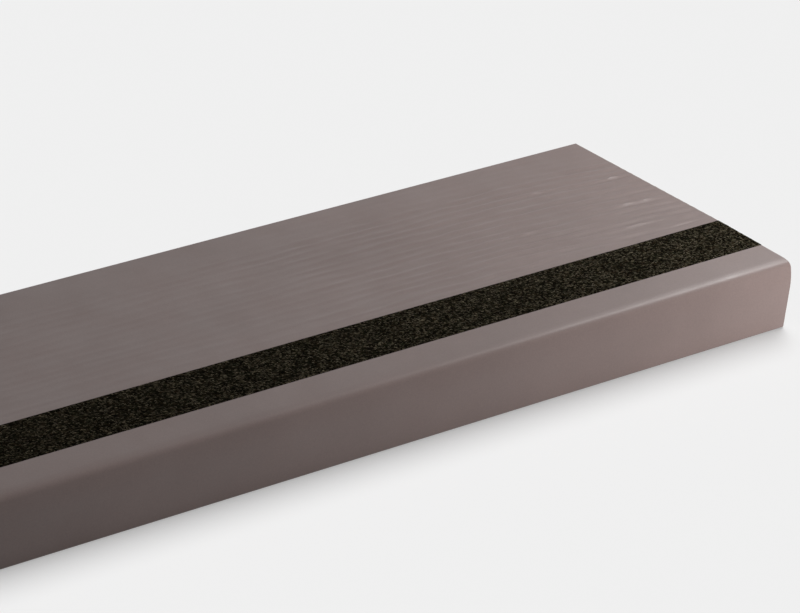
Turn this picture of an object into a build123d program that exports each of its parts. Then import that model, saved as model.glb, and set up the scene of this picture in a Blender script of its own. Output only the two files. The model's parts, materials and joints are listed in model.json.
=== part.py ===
# Rubber stair tread with a rolled-over nose and an inlaid grit strip.
#
# The section is drawn as the tread sits on a step: Y runs from the nose to the back of the
# step, Z runs up, and the flat underside is at Z = 0. The section runs along X.
# The finished pieces are then tipped the way a loose tread comes to rest on a level floor,
# on the foot of its nose and on its back edge, with the origin under the middle.
import os
from math import asin, atan2, cos, degrees, radians, sin

from build123d import *

# Overall sizes, in millimetres
tread_length = 914.4
tread_depth = 268.0

# The walking plate, full thickness under the strip and thinner towards the back edge
plate_thickness = 6.35
back_thickness = 3.2
taper_starts_behind_strip = 6.0
back_edge_radius = 0.6

# The nose, a skirt that hangs from the plate's front edge and leans in towards the riser.
# It is rounded by three arcs: a soft crown, a tight corner and a nearly flat cheek.
nose_drop = 55.6
nose_lean_degrees = 6.5
crown_radius = 28.0
crown_turn_degrees = 12.0
corner_radius = 5.5
cheek_radius = 50.0
cheek_turn_degrees = 18.0
nose_root_thickness = 6.3
nose_foot_thickness = 4.6
inner_corner_radius = 3.0
foot_radius = 1.2

# The grit strip, inlaid in a groove that runs the whole length
strip_setback = 37.8
strip_width = 50.8
strip_thickness = 2.0
strip_stands_proud = 0.3
strip_side_clearance = 0.15

# Places that follow from the sizes above
lean = radians(nose_lean_degrees)
strip_back = strip_setback + strip_width
groove_front = strip_setback - strip_side_clearance
groove_back = strip_back + strip_side_clearance
groove_floor = plate_thickness + strip_stands_proud - strip_thickness
taper_start = groove_back + taper_starts_behind_strip


def down_the_face(drop):
    """The point of the nose's front face that lies this far below the walking surface."""
    return Vector(drop * sin(lean) / cos(lean), plate_thickness - drop)


def behind_the_face(point, thickness):
    """The point this far behind a point of the front face, square to that face."""
    return point + Vector(cos(lean), sin(lean)) * thickness


# The section's sharp corners, before they are rounded
front_corner = down_the_face(0)
foot_front = down_the_face(nose_drop)
foot_back = behind_the_face(foot_front, nose_foot_thickness)
root_back = behind_the_face(front_corner, nose_root_thickness)
rear_face = root_back - foot_back
inner_corner = foot_back - rear_face * (foot_back.Y / rear_face.Y)
back_lower = Vector(tread_depth, 0)
back_upper = Vector(tread_depth, back_thickness)


def nose_arcs(start):
    """The nose's three arcs, one on from the other, from this start on the walking surface."""
    corner_turn_degrees = 90 + nose_lean_degrees - crown_turn_degrees - cheek_turn_degrees
    crown = JernArc(start, (-1, 0), crown_radius, crown_turn_degrees)
    corner = JernArc(crown @ 1, crown % 1, corner_radius, corner_turn_degrees)
    cheek = JernArc(corner @ 1, corner % 1, cheek_radius, cheek_turn_degrees)
    return [crown, corner, cheek]


def nose_round():
    """The three arcs, slid along the walking surface until they end on the front face."""
    end = nose_arcs(front_corner)[-1] @ 1
    on_the_face = down_the_face(plate_thickness - end.Y)
    return nose_arcs(front_corner + Vector(on_the_face.X - end.X, 0))


def rounded(section, corner, radius):
    """The section with the corner at this point rounded."""
    return fillet(section.vertices().sort_by_distance(corner)[0], radius)


def tread_section():
    """The moulded rubber's section."""
    nose = nose_round()
    rest = Polyline(
        nose[-1] @ 1,
        foot_front,
        foot_back,
        inner_corner,
        back_lower,
        back_upper,
        (taper_start, plate_thickness),
        (groove_back, plate_thickness),
        (groove_back, groove_floor),
        (groove_front, groove_floor),
        (groove_front, plate_thickness),
        nose[0] @ 0,
    )
    section = make_face(Curve() + [rest, *nose])
    section = rounded(section, inner_corner, inner_corner_radius)
    section = rounded(section, foot_front, foot_radius)
    section = rounded(section, foot_back, foot_radius)
    return rounded(section, back_upper, back_edge_radius)


def strip_section():
    """The grit strip's section, seated on the groove's floor."""
    middle = (strip_setback + strip_width / 2, groove_floor + strip_thickness / 2)
    return Pos(*middle) * Rectangle(strip_width, strip_thickness)


def run_out(section):
    """The solid that a section makes along X, with half of the length to each side."""
    return extrude(Plane.YZ * section, tread_length / 2, both=True)


def rest_angle():
    """How far the tread tips back, in degrees, to stand on its foot and its back edge."""
    along_foot = (foot_front - foot_back).normalized()
    up_the_rear = (inner_corner - foot_back).normalized()
    half_corner = radians(along_foot.get_angle(up_the_rear) / 2)
    bisector = (along_foot + up_the_rear).normalized()
    foot_centre = foot_back + bisector * (foot_radius / sin(half_corner))
    reach = back_lower - foot_centre
    return degrees(atan2(reach.Y, reach.X) + asin(foot_radius / reach.length))


def at_rest(pieces):
    """The pieces tipped as the tread lies on a floor, with the origin under its middle."""
    tipped = {name: Rot(X=-rest_angle()) * piece for name, piece in pieces.items()}
    box = Compound([piece.solid() for piece in tipped.values()]).bounding_box()
    to_floor = Pos(0, -box.center().Y, -box.min.Z)
    return {name: to_floor * piece for name, piece in tipped.items()}


parts = at_rest(
    {
        "rubber_tread": run_out(tread_section()),
        "grit_strip": run_out(strip_section()),
    }
)

os.makedirs("parts", exist_ok=True)
for name, piece in parts.items():
    export_step(piece, f"parts/{name}.step")
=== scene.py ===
import json
import math

import bmesh
import bpy
import numpy as np
from mathutils import Matrix, Vector, noise


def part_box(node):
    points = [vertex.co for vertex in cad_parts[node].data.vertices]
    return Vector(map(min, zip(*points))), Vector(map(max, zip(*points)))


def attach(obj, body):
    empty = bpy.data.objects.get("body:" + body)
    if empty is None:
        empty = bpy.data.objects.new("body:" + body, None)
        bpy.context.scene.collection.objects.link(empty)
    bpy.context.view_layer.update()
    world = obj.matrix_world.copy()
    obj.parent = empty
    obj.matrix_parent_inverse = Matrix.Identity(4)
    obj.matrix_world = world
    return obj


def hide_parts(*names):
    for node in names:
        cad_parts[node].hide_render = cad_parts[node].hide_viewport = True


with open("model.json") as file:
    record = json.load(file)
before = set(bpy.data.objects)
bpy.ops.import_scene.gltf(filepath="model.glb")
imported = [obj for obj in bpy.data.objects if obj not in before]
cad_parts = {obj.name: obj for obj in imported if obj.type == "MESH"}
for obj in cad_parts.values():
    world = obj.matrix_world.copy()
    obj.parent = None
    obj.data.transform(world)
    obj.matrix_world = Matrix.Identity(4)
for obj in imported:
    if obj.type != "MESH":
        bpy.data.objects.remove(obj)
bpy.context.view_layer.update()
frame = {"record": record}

MM = 0.001

# The tread's section
plate_thickness = 6.35 * MM
back_thickness = 3.2 * MM
tread_depth = 268.0 * MM
nose_drop = 55.6 * MM
nose_lean = math.radians(6.5)
crown_radius = 28.0 * MM
crown_turn = math.radians(12.0)
corner_radius = 5.5 * MM
cheek_radius = 50.0 * MM
cheek_turn = math.radians(18.0)
nose_root_thickness = 6.3 * MM
nose_foot_thickness = 4.6 * MM
inner_corner_radius = 3.0 * MM
foot_radius = 1.2 * MM
back_edge_radius = 0.6 * MM
taper_starts_behind_strip = 6.0 * MM

# The grit strip and its groove
strip_setback = 37.8 * MM
strip_width = 50.8 * MM
strip_thickness = 2.0 * MM
strip_stands_proud = 0.3 * MM
strip_side_clearance = 0.15 * MM

# The ripples, long low ridges that run with the tread's length
ripple_pitch = 10.0 * MM
ripple_height = 0.45 * MM
ripple_sharpness = 2.4
ripple_swing = 0.15
ripple_swing_length = 220.0 * MM
ripple_faint_share = 0.15
ripple_faint_from_end = 430.0 * MM
ripple_full_from_end = 120.0 * MM
ripple_starts_behind_strip = 8.0 * MM
ripple_back_margin = 38.0 * MM
ripple_back_share = 0.15
ripple_fade = 7.0 * MM
ripple_end_fade = 10.0 * MM
ripple_end_share = 0.25
ripple_mean_strength = 0.74
ripple_strength_spread = 0.65
ripple_least_strength = 0.15
ripple_dimple_share = 0.30

# How the ripples waver: how far, over lumps of what length and width, and the noise's seed
ripple_wavers = (
    (3.0 * MM, 900 * MM, 34 * MM, 3.1),
    (2.0 * MM, 70 * MM, 30 * MM, 7.7),
    (1.0 * MM, 24 * MM, 12 * MM, 11.3),
)

# The slight unevenness of the smooth parts, which fades out at the strip and at the nose's foot
wave_height = 0.10 * MM
small_wave_height = 0.03 * MM
wave_fade = 8.0 * MM

# The grit's grains
grain_size = 1.7 * MM
grain_depth = 0.26 * MM
grain_roundness = 1.5
grain_roughness_size = 0.9 * MM
grain_roughness_depth = 0.07 * MM
strip_edge_droop = 0.12 * MM
strip_edge_droop_width = 1.2 * MM
strip_edge_raggedness = 0.10 * MM

# How the meshes are divided
skin_column = 3.0 * MM
field_spacing = 1.6 * MM
smooth_spacing = 3.0 * MM
edge_spacing = 2.0 * MM
groove_floor_spacing = 20.0 * MM
rear_spacing = 8.0 * MM
underside_spacing = 9.0 * MM
arc_step = math.radians(7)
fewest_arc_steps = 4
same_place = 0.001 * MM
grain_spacing = 0.85 * MM
grain_scatter = 0.25
cut_edge_softening = 0.25 * MM
sharp_edge_angle = math.radians(35)

# The pale surround and floor: what is seen of them, and what they give to other rays
surround_grey = 0.86
surround_light = 0.07
floor_size = 12.0
floor_glow = 0.38
floor_matte_seen = 0.46
floor_matte_unseen = 0.12

# The photograph's camera. Its focal length and the photograph's width are in pixels.
camera_place = (-1.5187, -1.6614, 1.0639)
camera_azimuth = math.radians(35.01)
camera_elevation = math.radians(26.39)
camera_roll = math.radians(1.42)
camera_focal_length = 3344
photograph_width = 800
sensor_width_mm = 36

tread_low, tread_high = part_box("rubber_tread")
half_length = (tread_high.x - tread_low.x) / 2


def seat_tilt():
    """How far the tread lies tipped back, from the direction its underside faces."""
    mounts = {m["name"]: m for m in frame["record"]["mounts"]}
    faces = mounts["step_seat"]["axis"]
    return math.atan2(-faces[1], -faces[2])


tilt = seat_tilt()


def tipped(y, z):
    """A place of the section turned to the angle at which the tread lies."""
    return y * math.cos(tilt) + z * math.sin(tilt), z * math.cos(tilt) - y * math.sin(tilt)


# The section's outline

def on_face(drop):
    """The point of the nose's front face that lies this far below the walking surface."""
    return Vector((drop * math.tan(nose_lean), plate_thickness - drop))


def behind_face(point, thickness):
    """The point this far behind a point of the front face, square to that face."""
    return point + Vector((math.cos(nose_lean), math.sin(nose_lean))) * thickness


def nose_turns():
    """The nose's rounding as corners of its three arcs: a soft crown, a tight corner and a cheek.
    They start on the walking surface and slide along it until the last one ends on the face."""
    corner_turn = math.pi / 2 + nose_lean - crown_turn - cheek_turn
    arcs = ((crown_radius, crown_turn), (corner_radius, corner_turn), (cheek_radius, cheek_turn))
    place = Vector((0, 0))
    heading = math.pi
    corners = []
    for radius, turn in arcs:
        reach = radius * math.tan(turn / 2)
        corners.append(place + Vector((math.cos(heading), math.sin(heading))) * reach)
        heading += turn
        place = corners[-1] + Vector((math.cos(heading), math.sin(heading))) * reach
    slide = Vector((-place.y * math.tan(nose_lean) - place.x, plate_thickness))
    return [(corner + slide, radius) for corner, (radius, _) in zip(corners, arcs)]


def tread_corners():
    """The section's corners in order, each with its radius, and the spacing and name of the
    stretch that follows it."""
    crown, corner, cheek = nose_turns()
    groove_floor = plate_thickness + strip_stands_proud - strip_thickness
    groove_front = strip_setback - strip_side_clearance
    groove_back = strip_setback + strip_width + strip_side_clearance
    taper_start = groove_back + taper_starts_behind_strip
    foot_front = on_face(nose_drop)
    foot_back = behind_face(foot_front, nose_foot_thickness)
    rear = behind_face(on_face(0), nose_root_thickness) - foot_back
    inner_corner = foot_back - rear * (foot_back.y / rear.y)
    return [
        ((tread_depth, 0), 0, edge_spacing, "back_edge"),
        ((tread_depth, back_thickness), back_edge_radius, field_spacing, "field"),
        ((taper_start, plate_thickness), 0, smooth_spacing, "land"),
        ((groove_back, plate_thickness), 0, edge_spacing, "groove"),
        ((groove_back, groove_floor), 0, groove_floor_spacing, "groove"),
        ((groove_front, groove_floor), 0, edge_spacing, "groove"),
        ((groove_front, plate_thickness), 0, smooth_spacing, "land"),
        (*crown, smooth_spacing, "nose"),
        (*corner, smooth_spacing, "nose"),
        (*cheek, smooth_spacing, "face"),
        (foot_front, foot_radius, smooth_spacing, "foot"),
        (foot_back, foot_radius, rear_spacing, "rear"),
        (inner_corner, inner_corner_radius, underside_spacing, "underside"),
    ]


def rounded_outline(corners):
    """Points and stretch names round a closed outline, with its corners rounded."""
    arcs = []
    for i, (place, radius, _, _) in enumerate(corners):
        corner = Vector(place)
        into = (corner - Vector(corners[i - 1][0])).normalized()
        out = (Vector(corners[(i + 1) % len(corners)][0]) - corner).normalized()
        turn = math.atan2(into.x * out.y - into.y * out.x, into.dot(out))
        if radius == 0:
            arcs.append([corner])
            continue
        start = corner - into * radius * math.tan(abs(turn) / 2)
        side = Vector((-into.y, into.x)) * math.copysign(radius, turn)
        centre = start + side
        steps = max(fewest_arc_steps, round(abs(turn) / arc_step))
        arcs.append([centre + Matrix.Rotation(turn * k / steps, 2) @ -side for k in range(steps + 1)])
    points = []
    names = []
    for i, (_, radius, spacing, name) in enumerate(corners):
        start = arcs[i][-1]
        end = arcs[(i + 1) % len(corners)][0]
        arc = arcs[i][:-1] if (end - start).length < same_place else arcs[i]
        points += arc
        names += ["round" if radius else name] * len(arc)
        pieces = max(1, round((end - start).length / spacing))
        for k in range(1, pieces):
            points.append(start.lerp(end, k / pieces))
            names.append(name)
    return np.array(points), np.array(names)


def in_row_frame(y, z):
    """Places of the tread's own frame, tipped and set down where the tread lies."""
    outline, _ = rounded_outline(tread_corners())
    y_outline, z_outline = tipped(outline[:, 0], outline[:, 1])
    y_turned, z_turned = tipped(y, z)
    return y_turned + tread_low.y - y_outline.min(), z_turned + tread_low.z - z_outline.min()


def outward(points):
    """The direction out of a closed outline at each of its points."""
    along = np.roll(points, -1, 0) - np.roll(points, 1, 0)
    along /= np.linalg.norm(along, axis=1)[:, None]
    after = np.roll(points, -1, 0)
    area = np.sum(points[:, 0] * after[:, 1] - after[:, 0] * points[:, 1])
    return np.column_stack([along[:, 1], -along[:, 0]]) * math.copysign(1, area)


# Relief

def soft_noise(x, y, size_x, size_y, seed):
    """Smooth noise from about -1 to 1 over a grid of places, with lumps of these sizes."""
    to_about_one = 1.6
    flat = [noise.noise(Vector((a / size_x, b / size_y, seed))) for a, b in zip(x.ravel(), y.ravel())]
    return np.array(flat).reshape(x.shape) * to_about_one


def ramp(value, start, end):
    """A smooth climb from 0 at start to 1 at end."""
    t = np.clip((value - start) / (end - start), 0, 1)
    return t * t * (3 - 2 * t)


def at_least(share, climb):
    """A climb to 1 that starts from this share and not from 0."""
    return share + (1 - share) * climb


def ripples(x, y):
    """Height of the rippled walking surface: wavering ridges of uneven pitch and strength. At
    the tread's right end they are strong and swing towards the nose, and further along they
    are faint."""
    wander = np.zeros_like(x)
    for reach, length, width, seed in ripple_wavers:
        wander += reach * soft_noise(x, y, length, width, seed)
    swing_reach = np.maximum(x - half_length + ripple_swing_length, 0)
    wander += ripple_swing * swing_reach ** 2 / (2 * ripple_swing_length)
    wave = 0.5 + 0.5 * np.cos((y + wander) * 2 * math.pi / ripple_pitch)
    ridge = 2 * wave ** ripple_sharpness - 1
    strength = ripple_mean_strength + ripple_strength_spread * soft_noise(x, y, 34 * MM, 8 * MM, 15.9)
    strength = np.maximum(strength, ripple_least_strength)
    dimples = ripple_dimple_share * soft_noise(x, y, 11 * MM, 5 * MM, 20.2)

    front = strip_setback + strip_width + ripple_starts_behind_strip
    back = tread_depth - ripple_back_margin
    near_back = ramp(y, back - ripple_fade, back + ripple_fade)
    from_cut_end = ramp(half_length - np.abs(x), 0, ripple_end_fade)
    near_right_end = ramp(x, half_length - ripple_faint_from_end, half_length - ripple_full_from_end)
    share = ramp(y, front - ripple_fade, front)
    share *= at_least(ripple_back_share, 1 - near_back)
    share *= at_least(ripple_end_share, from_cut_end)
    share *= at_least(ripple_faint_share, near_right_end)
    return ripple_height * share * (ridge * strength + dimples)


def moulding_waves(x, y, z):
    """The slight unevenness of the smooth nose and the land behind it."""
    broad = wave_height * soft_noise(x, y + z, 75 * MM, 45 * MM, 31.5)
    small = small_wave_height * soft_noise(x, y - z, 24 * MM, 18 * MM, 36.1)
    return broad + small


def grain_depths(x, y):
    """Depth below the grains' tops of a surface of packed grit."""
    seed = 2.5
    places = [Vector((a / grain_size, b / grain_size, seed)) for a, b in zip(x.ravel(), y.ravel())]
    to_middle = np.array([noise.voronoi(place)[0][0] for place in places]).reshape(x.shape)
    dome = grain_depth * np.clip(to_middle, 0, 1) ** grain_roundness
    rough = soft_noise(x, y, grain_roughness_size, grain_roughness_size, 41.3)
    return dome + grain_roughness_depth * (1 - rough)


# Meshes

def swept_piece(name, x, y, z, materials):
    """A closed piece from rings of points along the tread, given in the tread's own frame."""
    rings, ring = x.shape
    y_row, z_row = in_row_frame(y, z)
    faces = []
    for a in range(0, (rings - 1) * ring, ring):
        b = a + ring
        faces += [(a + k, b + k, b + (k + 1) % ring, a + (k + 1) % ring) for k in range(ring)]
    last = (rings - 1) * ring
    faces.append(tuple(range(ring)))
    faces.append(tuple(range(last + ring - 1, last - 1, -1)))
    mesh = bpy.data.meshes.new(name)
    mesh.from_pydata(np.stack([x, y_row, z_row], -1).reshape(-1, 3).tolist(), [], faces)
    for material in materials:
        mesh.materials.append(material)
    finish_mesh(mesh)
    piece = bpy.data.objects.new(name, mesh)
    bpy.context.scene.collection.objects.link(piece)
    return piece


def finish_mesh(mesh):
    """Cuts the end caps into triangles, gives them the last material and smooths the rest."""
    bm = bmesh.new()
    bm.from_mesh(mesh)
    caps = [f for f in bm.faces if len(f.verts) > 4]
    cut = bmesh.ops.triangulate(bm, faces=caps, ngon_method="BEAUTY")["faces"]
    bmesh.ops.recalc_face_normals(bm, faces=bm.faces)
    capped = set(cut)
    for f in bm.faces:
        f.smooth = f not in capped
        f.material_index = len(mesh.materials) - 1 if f in capped else 0
    for e in bm.edges:
        e.smooth = e.calc_face_angle(0) < sharp_edge_angle
    bm.to_mesh(mesh)
    bm.free()


def columns(spacing):
    """Places along the tread from end to end, with a close pair at each cut end."""
    inner = half_length - cut_edge_softening
    count = round(2 * inner / spacing)
    middle = np.linspace(-inner, inner, count + 1)
    return np.concatenate([[-half_length], middle, [half_length]])


def rubber_skin(materials):
    """The moulded rubber, with its ripples and waves as real relief and softened cut ends."""
    outline, names = rounded_outline(tread_corners())
    normal = outward(outline)
    xs = columns(skin_column)
    x = np.repeat(xs[:, None], len(outline), 1)
    y = np.repeat(outline[None, :, 0], len(xs), 0)
    z = np.repeat(outline[None, :, 1], len(xs), 0)
    lift = np.zeros_like(x)

    field = names == "field"
    lift[:, field] = ripples(x[:, field], y[:, field])

    up_and_forward = [-0.6, 0.8]
    before_strip = outline[:, 0] < strip_setback
    smooth = np.isin(names, ["land", "face", "round"])
    on_nose = before_strip & smooth & (normal @ up_and_forward > 0)
    foot_height = plate_thickness - nose_drop
    from_strip = ramp(strip_setback - y, 0, wave_fade)
    from_foot = ramp(z, foot_height, foot_height + wave_fade)
    lift[:, on_nose] = (moulding_waves(x, y, z) * (from_strip * from_foot))[:, on_nose]

    at_cut_end = np.abs(xs) > half_length - cut_edge_softening / 2
    lift -= np.where(at_cut_end, cut_edge_softening, 0)[:, None]
    y = y + normal[None, :, 0] * lift
    z = z + normal[None, :, 1] * lift
    return swept_piece("rubber_skin", x, y, z, materials)


def grit_skin(materials):
    """The grit strip: a flat bar with a surface of packed grains and slightly ragged edges."""
    low = plate_thickness + strip_stands_proud - strip_thickness
    top = plate_thickness + strip_stands_proud
    across = round(strip_width / grain_spacing)
    xs = np.linspace(-half_length, half_length, round(2 * half_length / grain_spacing) + 1)
    ys = strip_setback + np.linspace(0, strip_width, across + 1)
    x, y = np.meshgrid(xs, ys, indexing="ij")
    rng = np.random.default_rng(12)
    inner = (slice(1, -1), slice(1, -1))
    x[inner] += rng.uniform(-grain_scatter, grain_scatter, x[inner].shape) * grain_spacing
    y[inner] += rng.uniform(-grain_scatter, grain_scatter, y[inner].shape) * grain_spacing
    from_edge = np.minimum(y - strip_setback, strip_setback + strip_width - y)
    droop = strip_edge_droop * (1 - ramp(from_edge, 0, strip_edge_droop_width))
    z = top - grain_depths(x, y) - droop
    y[:, 0] += rng.uniform(-strip_edge_raggedness, strip_edge_raggedness, len(xs))
    y[:, -1] += rng.uniform(-strip_edge_raggedness, strip_edge_raggedness, len(xs))
    ring_y = np.concatenate([y, y[:, -1:], y[:, :1]], 1)
    ring_z = np.concatenate([z, np.full((len(xs), 2), low)], 1)
    ring_x = np.repeat(xs[:, None], ring_y.shape[1], 1)
    ring_x[:, : across + 1] = x
    return swept_piece("grit_surface", ring_x, ring_y, ring_z, materials)


# Materials

def new_material(name):
    """A new node material, with its tree and its main shader."""
    material = bpy.data.materials.new(name)
    material.use_nodes = True
    tree = material.node_tree
    return material, tree, tree.nodes["Principled BSDF"]


def node(tree, kind, inputs=(), **settings):
    """A node of this kind with its settings made, and its inputs set or linked."""
    made = tree.nodes.new(kind)
    for key, value in settings.items():
        setattr(made, key, value)
    for key, value in dict(inputs).items():
        if isinstance(value, bpy.types.NodeSocket):
            tree.links.new(value, made.inputs[key])
        else:
            made.inputs[key].default_value = value
    return made


def lumps(tree, place, size, detail):
    """Noise with lumps of this size in metres."""
    inputs = {"Vector": place, "Scale": 1 / size, "Detail": detail, "Roughness": 0.55}
    return node(tree, "ShaderNodeTexNoise", inputs).outputs["Fac"]


def scaled(tree, value, low, high, start=0.3, end=0.7):
    """A value taken from start..end to low..high. Noise mostly stays between 0.3 and 0.7."""
    inputs = {"Value": value, "From Min": start, "From Max": end, "To Min": low, "To Max": high}
    return node(tree, "ShaderNodeMapRange", inputs).outputs["Result"]


def colours(tree, value, stops):
    """A colour ramp with these stops of (place, colour)."""
    made = node(tree, "ShaderNodeValToRGB", {"Fac": value})
    ramp_stops = made.color_ramp.elements
    while len(ramp_stops) < len(stops):
        ramp_stops.new(0.5)
    for stop, (place, colour) in zip(ramp_stops, stops):
        stop.position = place
        stop.color = (*colour, 1)
    return made.outputs["Color"]


def grey(tree, value):
    """The grey of this value, as a colour."""
    return node(tree, "ShaderNodeCombineColor", {0: value, 1: value, 2: value}).outputs[0]


def multiplied(tree, a, b):
    """The product of two colours."""
    # The sockets go by number here, because several of them share a name.
    inputs = {0: 1.0, 6: a, 7: b}
    return node(tree, "ShaderNodeMix", inputs, data_type="RGBA", blend_type="MULTIPLY").outputs[2]


def bumped(tree, height, depth, before=None):
    """A surface direction bumped by a height of up to this depth in metres."""
    inputs = {"Height": height, "Distance": depth}
    if before is not None:
        inputs["Normal"] = before
    return node(tree, "ShaderNodeBump", inputs).outputs["Normal"]


def moulded_rubber():
    """Warm grey rubber: a satin moulded skin with slight mottling and a fine leathery grain."""
    material, tree, shader = new_material("moulded_rubber")
    place = node(tree, "ShaderNodeTexCoord").outputs["Object"]
    clouds = colours(
        tree,
        lumps(tree, place, 90 * MM, 4),
        [(0.3, (0.160, 0.119, 0.110)), (0.7, (0.182, 0.136, 0.126))],
    )
    flecks = scaled(tree, lumps(tree, place, 1.1 * MM, 2), 0.93, 1.05)
    sheen = scaled(tree, lumps(tree, place, 28 * MM, 5), 0.40, 0.50)
    grain = bumped(tree, lumps(tree, place, 0.55 * MM, 2), 0.012 * MM)
    unevenness = bumped(tree, lumps(tree, place, 6 * MM, 3), 0.05 * MM, grain)
    tree.links.new(multiplied(tree, clouds, grey(tree, flecks)), shader.inputs["Base Color"])
    tree.links.new(sheen, shader.inputs["Roughness"])
    tree.links.new(unevenness, shader.inputs["Normal"])
    return material


def cut_rubber():
    """The ends, where the moulded length was sawn: duller, with fine upright saw lines."""
    material, tree, shader = new_material("cut_rubber")
    place = node(tree, "ShaderNodeTexCoord").outputs["Object"]
    upright = node(tree, "ShaderNodeMapping", {"Vector": place, "Scale": (1, 1, 0.12)})
    lines = lumps(tree, upright.outputs["Vector"], 0.45 * MM, 3)
    tones = colours(tree, lines, [(0.3, (0.150, 0.124, 0.116)), (0.7, (0.192, 0.160, 0.150))])
    tree.links.new(tones, shader.inputs["Base Color"])
    tree.links.new(scaled(tree, lines, 0.62, 0.78), shader.inputs["Roughness"])
    tree.links.new(bumped(tree, lines, 0.12 * MM), shader.inputs["Normal"])
    return material


def grit():
    """Near-black grit: packed dull grains, most of them black, with brown, green-grey and pale
    ones, and with dust on some that shows as a sheen."""
    material, tree, shader = new_material("grit")
    place = node(tree, "ShaderNodeTexCoord").outputs["Object"]
    cells = node(tree, "ShaderNodeTexVoronoi", {"Vector": place, "Scale": 1 / (1.4 * MM)})
    pick = node(tree, "ShaderNodeSeparateColor", {"Color": cells.outputs["Color"]})
    grains = colours(
        tree,
        pick.outputs["Red"],
        [
            (0.0, (0.0010, 0.0009, 0.0004)),
            (0.50, (0.0030, 0.0026, 0.0014)),
            (0.68, (0.0080, 0.0094, 0.0048)),
            (0.83, (0.0210, 0.0135, 0.0076)),
            (0.93, (0.028, 0.025, 0.015)),
            (1.0, (0.09, 0.075, 0.05)),
        ],
    )
    patches = scaled(tree, lumps(tree, place, 7 * MM, 3), 0.55, 1.35)
    roughness = scaled(tree, pick.outputs["Green"], 0.30, 0.62, 0, 1)
    dust = scaled(tree, pick.outputs["Blue"], 0.02, 0.42, 0.50, 1.0)
    domes = bumped(tree, cells.outputs["Distance"], -0.60 * MM)
    fine = bumped(tree, lumps(tree, place, 0.35 * MM, 2), 0.30 * MM, domes)
    tree.links.new(multiplied(tree, grains, grey(tree, patches)), shader.inputs["Base Color"])
    tree.links.new(roughness, shader.inputs["Roughness"])
    tree.links.new(dust, shader.inputs["Sheen Weight"])
    tree.links.new(fine, shader.inputs["Normal"])
    shader.inputs["Specular IOR Level"].default_value = 0.0
    shader.inputs["Sheen Roughness"].default_value = 0.35
    shader.inputs["Sheen Tint"].default_value = (1.0, 0.86, 0.62, 1)
    return material


# Stage, lamps and camera

def in_place(x_from_right_end, y, z_from_top):
    """A place given from the tread's right end, its nose and its walking surface, in the row frame."""
    return Vector((x_from_right_end + half_length, *in_row_frame(y, z_from_top + plate_thickness)))


def tipped_direction(direction):
    """A direction of the tread's own frame, in the row frame."""
    y, z = tipped(direction.y, direction.z)
    return Vector((direction.x, y, z))


def add_lamp(name, place, aim, size, level, lights, shines=True):
    """A square soft lamp that gives this level of light where it is aimed: at level 1 a white
    surface that faces it renders white. It lights one collection and leaves the rest alone, and
    one that doesn't shine leaves no highlights."""
    reach = (aim - place).length
    light = bpy.data.lights.new(name, "AREA")
    light.shape = "SQUARE"
    light.size = size
    light.energy = level * math.pi * math.pi * reach * reach
    lamp = bpy.data.objects.new(name, light)
    lamp.location = place
    lamp.rotation_euler = (aim - place).to_track_quat("-Z", "Y").to_euler()
    lamp.visible_camera = False
    lamp.visible_glossy = shines
    lamp.light_linking.receiver_collection = lights
    bpy.context.scene.collection.objects.link(lamp)


def add_lamps(pieces):
    """A low lamp past the right end, one behind it that lines the nose with light, a soft one
    overhead and a faint one at the left. They light the tread alone, and the floor has its sun."""
    tread = bpy.data.collections.new("tread")
    for piece in pieces:
        tread.objects.link(piece)
    right_end = in_place(-20 * MM, 10 * MM, -15 * MM)
    middle = in_place(-300 * MM, 100 * MM, 0)
    left_middle = in_place(-600 * MM, 60 * MM, 0)
    low_right = in_place(0.45, -0.36, 0.02)
    back_right = in_place(0.25, 0.18, 0.39)
    high_right = in_place(0.10, 0.25, 0.80)
    left = in_place(-0.75, 0.0, 0.45)
    add_lamp("low_right", low_right, right_end, size=0.30, level=2.85, lights=tread, shines=False)
    add_lamp("back_right", back_right, right_end, size=0.20, level=0.53, lights=tread)
    add_lamp("high_right", high_right, middle, size=0.60, level=0.46, lights=tread, shines=False)
    add_lamp("left", left, left_middle, size=0.40, level=0.22, lights=tread, shines=False)


def looked_at(tree):
    """1 for rays that show a surface, from the camera or by way of gloss or glass, and else 0."""
    rays = node(tree, "ShaderNodeLightPath").outputs
    seen = rays["Is Camera Ray"]
    for kind in ("Is Glossy Ray", "Is Transmission Ray"):
        seen = node(tree, "ShaderNodeMath", {0: seen, 1: rays[kind]}, operation="MAXIMUM").outputs[0]
    return seen


def pale_world():
    """A pale surround that lights the object faintly."""
    world = bpy.data.worlds.new("pale")
    bpy.context.scene.world = world
    world.use_nodes = True
    tree = world.node_tree
    strength = scaled(tree, looked_at(tree), surround_light, 1.0, 0, 1)
    background = tree.nodes["Background"]
    background.inputs["Color"].default_value = (surround_grey, surround_grey, surround_grey, 1)
    tree.links.new(strength, background.inputs["Strength"])


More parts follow.
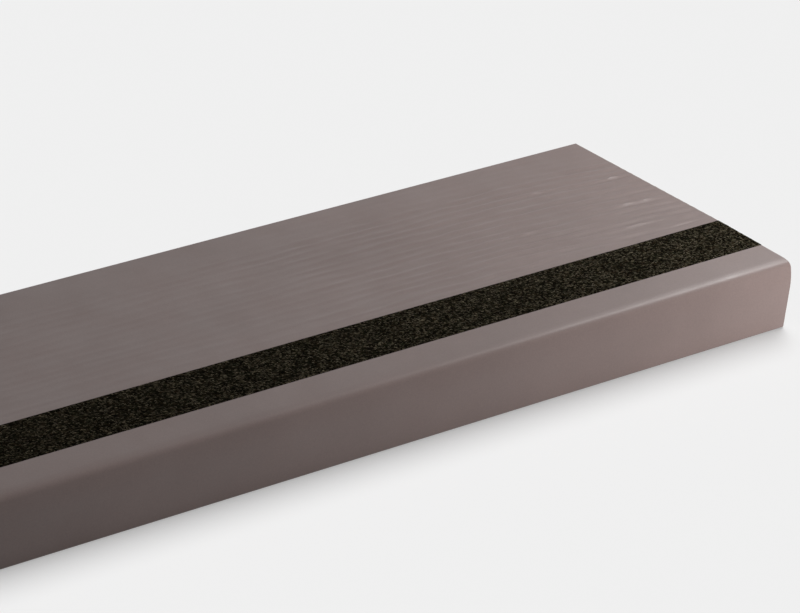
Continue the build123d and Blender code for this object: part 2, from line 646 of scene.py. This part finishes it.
def pale_floor():
    """A level floor that looks pale, keeps the object's shadow and gives it little light."""
    bpy.ops.mesh.primitive_plane_add(size=floor_size)
    floor = bpy.context.object
    floor.name = "floor"
    material = bpy.data.materials.new("pale_floor")
    material.use_nodes = True
    tree = material.node_tree
    tree.nodes.remove(tree.nodes["Principled BSDF"])
    seen = looked_at(tree)
    glow_strength = scaled(tree, seen, 0, floor_glow, 0, 1)
    shade = scaled(tree, seen, floor_matte_unseen, floor_matte_seen, 0, 1)
    glow = node(tree, "ShaderNodeEmission", {"Color": (1, 1, 1, 1), "Strength": glow_strength})
    matte = node(tree, "ShaderNodeBsdfDiffuse", {"Color": grey(tree, shade)})
    both = node(tree, "ShaderNodeAddShader", {0: matte.outputs[0], 1: glow.outputs[0]})
    tree.links.new(both.outputs[0], tree.nodes["Material Output"].inputs["Surface"])
    floor.data.materials.append(material)
    return floor


def add_floor_sun(floor):
    """A broad soft sun that lights the floor alone, so that the floor keeps the tread's shadow.
    A floor that faces up gets a level of 1 from it."""
    ground = bpy.data.collections.new("ground")
    ground.objects.link(floor)
    towards_sun = Vector((0.25, 0.35, 1.0)).normalized()
    light = bpy.data.lights.new("floor_sun", "SUN")
    light.angle = math.radians(40)
    light.energy = math.pi / towards_sun.z
    sun = bpy.data.objects.new("floor_sun", light)
    sun.rotation_euler = towards_sun.to_track_quat("Z", "Y").to_euler()
    sun.visible_glossy = False
    sun.light_linking.receiver_collection = ground
    bpy.context.scene.collection.objects.link(sun)


def add_camera():
    """The photograph's view, from the front, left of the tread's right end, and above."""
    place = in_place(*camera_place)
    forward = Vector((
        math.sin(camera_azimuth) * math.cos(camera_elevation),
        math.cos(camera_azimuth) * math.cos(camera_elevation),
        -math.sin(camera_elevation),
    ))
    level = forward.cross(Vector((0, 0, 1))).normalized()
    upright = level.cross(forward)
    right = level * math.cos(camera_roll) + upright * math.sin(camera_roll)
    up = upright * math.cos(camera_roll) - level * math.sin(camera_roll)
    turned = Matrix([tipped_direction(v) for v in (right, up, -forward)]).transposed()
    data = bpy.data.cameras.new("camera")
    data.sensor_width = sensor_width_mm
    data.lens = camera_focal_length / photograph_width * sensor_width_mm
    data.clip_end = 30
    camera = bpy.data.objects.new("camera", data)
    camera.matrix_world = Matrix.Translation(place) @ turned.to_4x4()
    bpy.context.scene.collection.objects.link(camera)
    bpy.context.scene.camera = camera


bpy.context.scene.view_settings.view_transform = "Standard"
add_camera()
pale_world()
add_floor_sun(pale_floor())

skin = rubber_skin([moulded_rubber(), cut_rubber()])
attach(skin, "root")
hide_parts("rubber_tread")

grit_surface = grit_skin([grit()])
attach(grit_surface, "root")
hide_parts("grit_strip")

add_lamps([skin, grit_surface])
